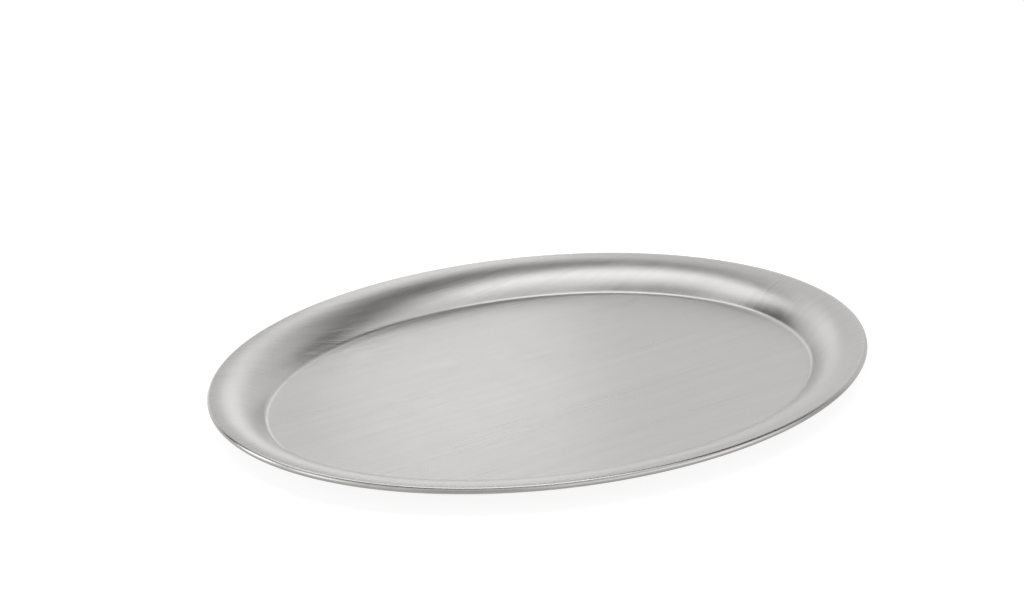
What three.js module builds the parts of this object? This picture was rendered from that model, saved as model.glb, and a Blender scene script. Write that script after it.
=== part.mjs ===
// Oval serving tray: one pressed sheet whose edge is rolled down round a ring of wire.
// Millimetres, +Z up, +X along the tray's long axis, origin under the middle of the base.
import * as THREE from "three";

// Overall size, measured over the rolled edge.
const LENGTH = 450;
const WIDTH = 355;
const HEIGHT = 18;

// The sheet, the wire in its rolled edge, and the play between them.
const SHEET = 0.7;
const WIRE_DIAMETER = 2.5;
const WIRE_PLAY = 0.3;

// Section of the rim: a narrow flat, a long flare that steepens inwards, a small fillet at the base.
const RIM_FLAT = 1.5;
const FLARE_RADIUS = 38;
const FOOT_RADIUS = 4.3;

// How far the edge is rolled round its wire. The seam that stays open faces in, under the rim.
const ROLL_ANGLE = THREE.MathUtils.degToRad(290);

// Straight steps that stand for each curve.
const PLAN_STEPS = 80;
const FLARE_STEPS = 7;
const FOOT_STEPS = 3;
const ROLL_STEPS = 10;
const WIRE_SIDES = 8;

const halfLength = LENGTH / 2;
const halfWidth = WIDTH / 2;
const wireRadius = WIRE_DIAMETER / 2;
const rollInside = wireRadius + WIRE_PLAY;
const rollOutside = rollInside + SHEET;
const rollCentre = new THREE.Vector2(halfLength - rollOutside, HEIGHT - rollOutside);

const wellDepth = HEIGHT - SHEET;
const flareAngle = Math.acos(1 - wellDepth / (FLARE_RADIUS + FOOT_RADIUS));
const flareCentre = new THREE.Vector2(rollCentre.x - RIM_FLAT, HEIGHT - FLARE_RADIUS);
const footCentre = new THREE.Vector2(
  flareCentre.x - (FLARE_RADIUS + FOOT_RADIUS) * Math.sin(flareAngle),
  SHEET + FOOT_RADIUS,
);

const steelFinish = { color: 0xc9c8c4, metalness: 1, roughness: 0.32 };
const wireFinish = { color: 0x9d9c99, metalness: 1, roughness: 0.4 };

// Points of an arc, both ends included. Angles are turned from +x towards +y.
function arc(centre, radius, from, to, steps) {
  return Array.from({ length: steps + 1 }, (_, i) => {
    const angle = from + ((to - from) * i) / steps;
    return new THREE.Vector2(radius, 0).rotateAround(new THREE.Vector2(), angle).add(centre);
  });
}

// Everything here is first turned as a round blank as wide as the tray is long. Pressing it to an
// oval keeps each ring of the rim at its own distance in from the edge, and narrows the floor evenly.
function pressToOval(geometry) {
  const floorHalfWidth = footCentre.x - halfLength + halfWidth;
  const position = geometry.attributes.position;
  for (let i = 0; i < position.count; i += 1) {
    const radius = Math.hypot(position.getX(i), position.getY(i));
    const rimScale = (radius - halfLength + halfWidth) / radius;
    const scale = radius > footCentre.x ? rimScale : floorHalfWidth / footCentre.x;
    position.setY(i, position.getY(i) * scale);
  }
  return geometry;
}

// Turns a closed section, given as radius and height, round the tray's upright axis.
function turn(section) {
  const geometry = new THREE.LatheGeometry(section, PLAN_STEPS);
  geometry.rotateX(Math.PI / 2);
  return pressToOval(geometry);
}

// The sheet's section, from the middle of the underside out to the edge and back over the top.
function sheetSection() {
  const up = Math.PI / 2;
  const flareEnd = up + flareAngle;
  const footEnd = flareEnd - Math.PI;
  const rollEnd = up - ROLL_ANGLE;
  return [
    new THREE.Vector2(0, 0),
    ...arc(footCentre, FOOT_RADIUS + SHEET, -up, footEnd, FOOT_STEPS),
    ...arc(flareCentre, FLARE_RADIUS - SHEET, flareEnd, up, FLARE_STEPS),
    ...arc(rollCentre, rollInside, up, rollEnd, ROLL_STEPS),
    ...arc(rollCentre, rollOutside, rollEnd, up, ROLL_STEPS),
    ...arc(flareCentre, FLARE_RADIUS, up, flareEnd, FLARE_STEPS),
    ...arc(footCentre, FOOT_RADIUS, footEnd, -up, FOOT_STEPS),
    new THREE.Vector2(0, SHEET),
  ];
}

function trayPressing() {
  const mesh = new THREE.Mesh(turn(sheetSection()), new THREE.MeshStandardMaterial(steelFinish));
  mesh.name = "tray_pressing";
  return mesh;
}

// A closed ring of wire that fills the roll and keeps the rim from bending.
function rimWire() {
  const section = arc(rollCentre, wireRadius, 0, 2 * Math.PI, WIRE_SIDES);
  const mesh = new THREE.Mesh(turn(section), new THREE.MeshStandardMaterial(wireFinish));
  mesh.name = "rim_wire";
  return mesh;
}

const servingTray = new THREE.Group();
servingTray.add(trayPressing(), rimWire());

export default servingTray;
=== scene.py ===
import math

import bpy
from mathutils import Matrix, Vector


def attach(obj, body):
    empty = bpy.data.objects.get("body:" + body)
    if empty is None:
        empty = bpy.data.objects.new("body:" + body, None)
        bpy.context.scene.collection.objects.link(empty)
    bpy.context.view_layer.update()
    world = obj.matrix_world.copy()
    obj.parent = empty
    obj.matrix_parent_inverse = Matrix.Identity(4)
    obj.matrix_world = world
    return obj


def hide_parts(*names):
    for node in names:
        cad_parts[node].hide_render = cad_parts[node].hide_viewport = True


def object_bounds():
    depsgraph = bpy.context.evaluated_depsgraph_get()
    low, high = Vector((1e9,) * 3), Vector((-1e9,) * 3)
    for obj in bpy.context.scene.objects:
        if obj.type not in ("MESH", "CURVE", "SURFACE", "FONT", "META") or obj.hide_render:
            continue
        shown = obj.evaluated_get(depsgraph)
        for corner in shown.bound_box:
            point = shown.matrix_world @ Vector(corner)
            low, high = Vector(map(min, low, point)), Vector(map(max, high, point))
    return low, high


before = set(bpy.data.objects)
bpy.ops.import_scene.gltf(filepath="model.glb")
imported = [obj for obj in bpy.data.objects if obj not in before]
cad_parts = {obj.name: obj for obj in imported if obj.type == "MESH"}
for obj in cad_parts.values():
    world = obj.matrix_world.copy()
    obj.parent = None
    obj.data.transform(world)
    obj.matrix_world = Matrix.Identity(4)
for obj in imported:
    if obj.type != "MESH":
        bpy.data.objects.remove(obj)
cadLow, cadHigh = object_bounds()
halfLength, halfWidth, height = cadHigh
narrowing = halfLength - halfWidth      # the rim is as wide at the ends as at the sides
print("frame loaded, tray", [round(side * 1000) for side in cadHigh - cadLow], "mm")


def deselectAll():
    if bpy.context.mode != "OBJECT":
        bpy.ops.object.mode_set(mode="OBJECT")
    bpy.ops.object.select_all(action="DESELECT")


def arcStops(centre, radius, start, end, steps):
    # points of an arc as (reach along the tray's long axis, height); angles turn from outward to up
    turns = [start + (end - start) * i / steps for i in range(steps + 1)]
    return [(centre[0] + radius * math.cos(a), centre[1] + radius * math.sin(a)) for a in turns]


def ovalSize(reach, floorEdge):
    # half length and half width of the ring whose half length is reach; inside the floor's edge
    # the rings keep the floor's own proportions
    if reach >= floorEdge:
        return reach, reach - narrowing
    return reach, reach * (floorEdge - narrowing) / floorEdge


def growRings(stops, floorEdge):
    # pull the selected ring out from stop to stop along the section
    for old, new in zip(stops, stops[1:]):
        oldLong, oldWide = ovalSize(old[0], floorEdge)
        newLong, newWide = ovalSize(new[0], floorEdge)
        stretch = (newLong / oldLong, newWide / oldWide, 1)
        bpy.ops.mesh.extrude_region_move()
        bpy.ops.transform.resize(value=stretch, center_override=(0, 0, old[1]))
        bpy.ops.transform.translate(value=(0, 0, new[1] - old[1]))


def applyModifiers(piece):
    for modifier in list(piece.modifiers):
        bpy.ops.object.modifier_apply(modifier=modifier.name)


tray = {
    "sheet": 0.0007,          # thickness of the steel
    "rollInside": 0.00155,    # the roll holds a 2.5 mm wire with a little play
    "rimFlat": 0.0015,
    "flareRadius": 0.038,
    "footRadius": 0.0043,
    "rollAngle": 290,         # how far the edge is rolled, in degrees
    "cutEdge": 0.00012,       # the sheared edge of the sheet is a little rounded
    "cutEdgeSteps": 2,
    "cutEdgeAngle": 60,       # only edges sharper than this are rounded, in degrees
    "smoothAngle": 40,        # softer edges than this are shaded smooth, in degrees
    "planSteps": 288,
    "floorRings": 10,
    "flareSteps": 26,
    "footSteps": 8,
    "rollSteps": 34,
}


def workOutSection():
    # floor, small fillet, long flare and rim, then the edge rolled down round its wire
    t = tray
    up = math.pi / 2
    rollOutside = t["rollInside"] + t["sheet"]
    rollCentre = (halfLength - rollOutside, height - rollOutside)
    radii = t["flareRadius"] + t["footRadius"]
    flareAngle = math.acos(1 - (height - t["sheet"]) / radii)
    flareCentre = (rollCentre[0] - t["rimFlat"], height - t["flareRadius"])
    footCentre = (flareCentre[0] - radii * math.sin(flareAngle), t["sheet"] + t["footRadius"])
    floorEdge = footCentre[0]
    rings = t["floorRings"]
    floor = [(floorEdge * i / rings, t["sheet"]) for i in range(1, rings)]
    foot = arcStops(footCentre, t["footRadius"], -up, flareAngle - up, t["footSteps"])
    flare = arcStops(flareCentre, t["flareRadius"], up + flareAngle, up, t["flareSteps"])
    roll = arcStops(rollCentre, rollOutside, up, up - math.radians(t["rollAngle"]), t["rollSteps"])
    return {"floorEdge": floorEdge, "rollCentre": rollCentre, "stops": floor + foot + flare[1:] + roll}


section = workOutSection()


def startRing(name, first, fill):
    # an oval of the first stop's size, ready in edit mode
    deselectAll()
    bpy.ops.mesh.primitive_circle_add(vertices=tray["planSteps"], radius=first[0], fill_type=fill,
                                      location=(0, 0, first[1]))
    piece = bpy.context.object
    piece.name = name
    bpy.ops.object.transform_apply(location=True, rotation=True, scale=True)
    bpy.ops.object.mode_set(mode="EDIT")
    long, wide = ovalSize(first[0], section["floorEdge"])
    bpy.ops.transform.resize(value=(1, wide / long, 1), center_override=(0, 0, 0))
    return piece


def selectOutline(piece):
    # the edges at the rim of a flat disc: those that only one face has
    bpy.ops.mesh.select_mode(type="EDGE")
    bpy.ops.mesh.select_all(action="DESELECT")
    bpy.ops.mesh.select_non_manifold()
    bpy.ops.object.mode_set(mode="OBJECT")
    print("outline of", piece.name, "has", sum(edge.select for edge in piece.data.edges), "edges")
    bpy.ops.object.mode_set(mode="EDIT")


def layMaps(piece):
    # The sheet was brushed flat before it was pressed, so the brushing map is the flat blank, in metres.
    # The edge map's V is how far a point is from the cut edge of the sheet, in metres along it.
    stops, floorEdge = section["stops"], section["floorEdge"]
    travel = [stops[0][0]]
    for old, new in zip(stops, stops[1:]):
        travel.append(travel[-1] + math.dist(old, new))
    brushing = piece.data.uv_layers.new(name="brushing")
    edge = piece.data.uv_layers.new(name="edge")
    for loop in piece.data.loops:
        ring = (loop.vertex_index - 1) // tray["planSteps"]
        place = piece.data.vertices[loop.vertex_index].co
        if ring < 0:
            brushing.data[loop.index].uv = (0, 0)
            edge.data[loop.index].uv = (0, travel[-1])
            continue
        long, wide = ovalSize(stops[ring][0], floorEdge)
        blankLong, blankWide = ovalSize(travel[ring], floorEdge)
        brushing.data[loop.index].uv = (place.x / long * blankLong, place.y / wide * blankWide)
        edge.data[loop.index].uv = (0, travel[-1] - travel[ring])


def pressTray():
    t, stops = tray, section["stops"]
    piece = startRing("pressedTray", stops[0], "TRIFAN")
    selectOutline(piece)
    growRings(stops, section["floorEdge"])
    bpy.ops.object.mode_set(mode="OBJECT")
    layMaps(piece)
    wall = piece.modifiers.new("sheet", "SOLIDIFY")
    wall.thickness = t["sheet"]
    wall.offset = -1
    wall.use_even_offset = True
    rounding = piece.modifiers.new("cut edge", "BEVEL")
    rounding.width = t["cutEdge"]
    rounding.segments = t["cutEdgeSteps"]
    rounding.limit_method = "ANGLE"
    rounding.angle_limit = math.radians(t["cutEdgeAngle"])
    applyModifiers(piece)
    bpy.ops.object.shade_smooth_by_angle(angle=math.radians(t["smoothAngle"]))
    print("tray pressed:", len(piece.data.polygons), "faces")
    return piece


pressedTray = pressTray()
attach(pressedTray, "root")
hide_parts("tray_pressing")

wire = {
    "radius": 0.00125,
    "sides": 20,
    "join": 0.00002,    # points closer than this are one
}


def bendWire():
    stops = arcStops(section["rollCentre"], wire["radius"], 0, 2 * math.pi, wire["sides"])
    piece = startRing("rimWire", stops[0], "NOTHING")
    growRings(stops, section["floorEdge"])
    bpy.ops.mesh.select_all(action="SELECT")
    bpy.ops.mesh.remove_doubles(threshold=wire["join"])
    bpy.ops.mesh.normals_make_consistent(inside=False)
    bpy.ops.object.mode_set(mode="OBJECT")
    bpy.ops.object.shade_smooth()
    print("wire bent:", len(piece.data.polygons), "faces")
    return piece


rimWire = bendWire()
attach(rimWire, "root")
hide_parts("rim_wire")


offLattice = (0.37, 0.41, 0.29)     # noise is flat at whole numbers, so every pattern starts between them
steepest = 30                       # past this a soft edge has long reached 0


class Value:
    # a number in a node tree; sums on it add the Math nodes
    def __init__(self, graph, socket):
        self.graph, self.socket = graph, socket

    def __add__(self, other):
        return self.graph.maths("ADD", self, other)

    def __sub__(self, other):
        return self.graph.maths("SUBTRACT", self, other)

    def __rsub__(self, other):
        return self.graph.maths("SUBTRACT", other, self)

    def __mul__(self, other):
        return self.graph.maths("MULTIPLY", self, other)

    def __truediv__(self, other):
        return self.graph.maths("DIVIDE", self, other)

    def __rtruediv__(self, other):
        return self.graph.maths("DIVIDE", other, self)

    def __abs__(self):
        return self.graph.maths("ABSOLUTE", self)

    __radd__ = __add__
    __rmul__ = __mul__


class Graph:
    # the node tree of a material or of the world, emptied
    def __init__(self, owner):
        owner.use_nodes = True
        self.tree = owner.node_tree
        self.tree.nodes.clear()

    def node(self, kind, settings=None, inputs=None):
        made = self.tree.nodes.new(kind)
        for name, value in (settings or {}).items():
            setattr(made, name, value)
        for name, value in (inputs or {}).items():
            source = value.socket if isinstance(value, Value) else value
            if isinstance(source, bpy.types.NodeSocket):
                self.tree.links.new(source, made.inputs[name])
            else:
                made.inputs[name].default_value = source
        return made

    def maths(self, operation, *terms):
        made = self.node("ShaderNodeMath", {"operation": operation}, dict(enumerate(terms)))
        return Value(self, made.outputs[0])

    def within(self, distance, half, edge):
        # 1 nearer than half, 0 farther off, fading over about half an edge on both sides of it
        past = (distance - half) * (4 / edge)
        return 1 / (self.maths("EXPONENT", self.maths("MINIMUM", past, steepest)) + 1)

    def noise(self, place, stretch, detail):
        # even noise about zero, stretched by the counts of changes per metre along each axis
        spread = self.node("ShaderNodeMapping", {}, {
            "Vector": place, "Location": offLattice, "Scale": stretch}).outputs[0]
        made = self.node("ShaderNodeTexNoise", {}, {"Vector": spread, "Scale": 1.0, "Detail": detail})
        return Value(self, made.outputs[0]) - 0.5

    def tinted(self, color, shade):
        # the colour made lighter or darker
        scaled = self.node("ShaderNodeVectorMath", {"operation": "SCALE"}, {0: color, "Scale": shade})
        return scaled.outputs[0]

    def finish(self, color, roughness, relief):
        # bare metal, with relief in metres
        bump = self.node("ShaderNodeBump", {}, {"Height": relief, "Distance": 1.0, "Strength": 1.0})
        shader = self.node("ShaderNodeBsdfPrincipled", {}, {
            "Base Color": color, "Roughness": roughness, "Metallic": 1.0, "Normal": bump.outputs[0]})
        self.node("ShaderNodeOutputMaterial", {}, {"Surface": shader.outputs[0]})


satin = {
    "color": (0.622, 0.614, 0.602),
    "roughness": 0.29,              # along the brushing; the hairs spread the shine wider across it
    "hairs": (24, 2700, 0),         # finest brush marks: changes along and across, per metre
    "hairDepth": 0.000085,
    "hairDetail": 1,                # how many finer layers lie over them
    "marks": (14, 620, 0),
    "markDepth": 0.000013,
    "markDetail": 2,
    "bands": (2, 140, 0),
    "bandDepth": 0.00002,
    "bandDetail": 2,
    "tint": 0.13,                   # how much the marks lighten and darken the steel
    "roughnessChange": 0.06,
    "handling": (9, 9, 9),          # faint cloudy wear
    "handlingChange": 0.04,
    "handlingDetail": 4,
    "edgeShadeReach": 0.016,            # painted shade: the steel's colour is darkened over the roll and the outer rim, this far in from the cut edge
    # how much that painted shade darkens the steel
    "rolledTone": 0.07,
    "polishedEdge": 0.012,          # the roll is rubbed smoother by hands, this far in from the cut edge
    "polish": 0.05,
    "rubbedAway": 0.85,             # how much of the brushing is gone there
    "fade": 0.25,                   # both edges fade out over this part of their width
}


def satinSteel():
    s = satin
    material = bpy.data.materials.new("satinSteel")
    g = Graph(material)
    blank = g.node("ShaderNodeUVMap", {"uv_map": "brushing"}).outputs["UV"]
    edgeMap = g.node("ShaderNodeUVMap", {"uv_map": "edge"}).outputs["UV"]
    fromEdge = Value(g, g.node("ShaderNodeSeparateXYZ", {}, {0: edgeMap}).outputs["Y"])
    objectPlace = g.node("ShaderNodeTexCoord").outputs["Object"]
    hairs = g.noise(blank, s["hairs"], s["hairDetail"])
    marks = g.noise(blank, s["marks"], s["markDetail"])
    bands = g.noise(blank, s["bands"], s["bandDetail"])
    handling = g.noise(objectPlace, s["handling"], s["handlingDetail"])
    rubbed = g.within(fromEdge, s["polishedEdge"], s["polishedEdge"] * s["fade"])
    # painted shade: a mask that darkens the steel's colour near the cut edge, over the roll and the outer rim
    rolled = g.within(fromEdge, s["edgeShadeReach"], s["edgeShadeReach"] * s["fade"])
    grain = marks + bands
    color = g.tinted(s["color"], grain * s["tint"] - rolled * s["rolledTone"] + 1)
    rough = grain * s["roughnessChange"] + handling * s["handlingChange"]
    rough = rough - rubbed * s["polish"] + s["roughness"]
    relief = hairs * s["hairDepth"] + marks * s["markDepth"] + bands * s["bandDepth"]
    relief = relief * (1 - rubbed * s["rubbedAway"])
    g.finish(color, rough, relief)
    return material


drawn = {
    "color": (0.36, 0.35, 0.34),
    "roughness": 0.4,
    "dieMarks": (400, 400, 400),    # changes per metre
    "markDetail": 3,
    "markDepth": 0.00001,
    "tint": 0.5,
    "roughnessChange": 0.3,
}


def drawnWire():
    d = drawn
    material = bpy.data.materials.new("drawnWire")
    g = Graph(material)
    marks = g.noise(g.node("ShaderNodeTexCoord").outputs["Object"], d["dieMarks"], d["markDetail"])
    color = g.tinted(d["color"], marks * d["tint"] + 1)
    g.finish(color, marks * d["roughnessChange"] + d["roughness"], marks * d["markDepth"])
    return material


def paint(piece, material):
    piece.data.materials.clear()
    piece.data.materials.append(material)


paint(pressedTray, satinSteel())
paint(rimWire, drawnWire())
print("steel finished")

# distances in metres, angles in degrees, the lens in millimetres
view = {
    "aim": (0.0627, 0.1228, 0.0),   # what the camera points at, on the floor
    "distance": 2.047,
    "azimuth": -35.447,
    "elevation": 21.512,
    "roll": -0.342,
    "lens": 105.47,
}
facing = -math.radians(view["azimuth"])     # which way is straight behind the tray, turned from +Y


def placeCamera():
    v = view
    tilt = math.radians(v["elevation"])
    back = Vector((-math.sin(facing) * math.cos(tilt), -math.cos(facing) * math.cos(tilt), math.sin(tilt)))
    camera = bpy.data.objects.new("camera", bpy.data.cameras.new("camera"))
    camera.data.lens = v["lens"]
    turn = back.to_track_quat("Z", "Y").to_matrix() @ Matrix.Rotation(math.radians(v["roll"]), 3, "Z")
    camera.matrix_world = Matrix.Translation(Vector(v["aim"]) + back * v["distance"]) @ turn.to_4x4()
    bpy.context.scene.collection.objects.link(camera)
    bpy.context.scene.camera = camera


# The studio as the tray sees it. Azimuths are turned from straight behind the tray to the camera's
# right; cards' angles and soft edges are in degrees, and dark cards have a gain below zero.
studio = {
    "horizon": 0.8,
    "zenith": 0.67,
    "underRim": 0.6,    # looking down at the table near the tray
    "tableDrop": 45,    # how far below the horizon that is reached
    "cards": {      # gain, azimuth, elevation, half width, half height, soft edge
        "behind": (0.4, -12, 22, 21, 41, 15),
        "darkBehind": (-0.73, 15, 57, 62, 11, 6),
        "darkLeft": (-1, -75, 23, 20, 21, 7),
        "darkRight": (-0.79, 66, 43, 12, 22, 7),
        "darkAboveCamera": (-0.63, -153, 63, 97, 13, 7),
        "rightEnd": (0.39, 85, 70, 25, 12, 8),
        "leftEnd": (0.38, -72, 59, 22, 19, 8),
        "lowRight": (0.41, 109, 15, 23, 19, 10),
        "darkLowBehind": (-0.45, -13, 23, 18, 16, 9),
        "towardsCamera": (-0.35, 180, -5, 18, 20, 8),
        "beadLeft": (0.5, -84, -4, 8, 12, 5),
        "beadFrontLeft": (0.95, -120, 13, 12, 16, 6),
        "beadFrontRight": (0.35, 146, 0, 12, 14, 6),
        "beadRight": (0.35, 107, 0, 9, 14, 6),
        "darkLowRight": (-0.4, 68, -5, 14, 12, 6),
    },
    "panels": {     # near the tray: places and sizes in metres, tilt 0 faces down and 90 is upright
        "overhead": {"right": -0.15, "back": 0.07, "up": 1.12, "length": 1.73, "width": 0.83,
                     "glow": 0.902, "turn": -25, "tilt": 0},
        "backCard": {"right": -0.08, "back": 0.71, "up": 0.31, "length": 0.23, "width": 0.22,
                     "glow": 0.535, "turn": 0, "tilt": 90},
        # close to the left end, where it puts a streak on the rolled edge
        "leftCard": {"right": -0.505, "back": -0.108, "up": 0.125, "length": 0.17, "width": 0.2,
                     "glow": 2.0, "turn": 84, "tilt": 90},
    },
    "backdrop": 1.05,
    "floorSize": 30,
    "floorGap": 0.0002,     # under the base, so that the two faces don't meet
    "floorColor": 0.4,
    "floorGlow": 0.8,       # the floor shines a little itself, so that shadows on it stay faint
}


def lightWorld():
    world = bpy.data.worlds.new("studio")
    bpy.context.scene.world = world
    g = Graph(world)
    way = g.node("ShaderNodeSeparateXYZ", {}, {0: g.node("ShaderNodeTexCoord").outputs["Generated"]})
    x, y, z = (Value(g, way.outputs[name]) for name in "XYZ")
    right = x * math.cos(facing) - y * math.sin(facing)
    back = x * math.sin(facing) + y * math.cos(facing)
    azimuth = g.maths("ARCTAN2", right, back) * math.degrees(1)
    elevation = g.maths("ARCSINE", z) * math.degrees(1)
    rise = g.maths("MAXIMUM", elevation, 0) / 90      # 0 at the horizon and 1 overhead
    drop = g.maths("MINIMUM", g.maths("MAXIMUM", 0 - elevation, 0) / studio["tableDrop"], 1)
    level = studio["horizon"] + rise * (studio["zenith"] - studio["horizon"])
    level = level + drop * (studio["underRim"] - studio["horizon"])
    for gain, middle, middleUp, halfWide, halfHigh, edge in studio["cards"].values():
        sideways = abs(g.maths("WRAP", azimuth - middle, 180, -180))
        upOrDown = abs(elevation - middleUp)
        level = level + g.within(sideways, halfWide, edge) * g.within(upOrDown, halfHigh, edge) * gain
    # only the steel sees the cards: what is seen past the tray is a plain pale backdrop
    toCamera = Value(g, g.node("ShaderNodeLightPath").outputs["Is Camera Ray"])
    shine = toCamera * studio["backdrop"] + (1 - toCamera) * g.maths("MAXIMUM", level, 0)
    background = g.node("ShaderNodeBackground", {}, {"Color": (1, 1, 1, 1), "Strength": shine})
    g.node("ShaderNodeOutputWorld", {}, {"Surface": background.outputs[0]})


def hangPanel(name, right, back, up, length, width, glow, turn, tilt):
    # a plain rectangular light that is as bright as a card of this glow
    panel = bpy.data.objects.new(name, bpy.data.lights.new(name, "AREA"))
    panel.data.shape = "RECTANGLE"
    panel.data.size = length
    panel.data.size_y = width
    panel.data.energy = glow * length * width * math.pi
    place = Vector((right * math.cos(facing) + back * math.sin(facing),
                    back * math.cos(facing) - right * math.sin(facing), up))
    spin = Matrix.Rotation(math.radians(turn) - facing, 4, "Z") @ Matrix.Rotation(math.radians(-tilt), 4, "X")
    panel.matrix_world = Matrix.Translation(place) @ spin
    panel.visible_camera = False
    bpy.context.scene.collection.objects.link(panel)


def layFloor():
    deselectAll()
    bpy.ops.mesh.primitive_plane_add(size=studio["floorSize"], location=(0, 0, -studio["floorGap"]))
    ground = bpy.context.object
    ground.name = "floor"
    material = bpy.data.materials.new("paleFloor")
    g = Graph(material)
    grey = studio["floorColor"]
    shader = g.node("ShaderNodeBsdfPrincipled", {}, {
        "Base Color": (grey, grey, grey, 1), "Roughness": 1.0, "Specular IOR Level": 0.0,
        "Emission Color": (1, 1, 1, 1), "Emission Strength": studio["floorGlow"]})
    clear = g.node("ShaderNodeBsdfTransparent")     # from below, so that the underside can be seen
    fromBelow = g.node("ShaderNodeNewGeometry").outputs["Backfacing"]
    mix = g.node("ShaderNodeMixShader", {}, {0: fromBelow, 1: shader.outputs[0], 2: clear.outputs[0]})
    g.node("ShaderNodeOutputMaterial", {}, {"Surface": mix.outputs[0]})
    paint(ground, material)
    ground.visible_glossy = False       # the steel sees the lower half of the studio instead
    ground.visible_diffuse = False


placeCamera()
lightWorld()
for panelName, panelValues in studio["panels"].items():
    hangPanel(panelName, **panelValues)
layFloor()
bpy.context.scene.view_settings.view_transform = "Standard"
print("studio lit")
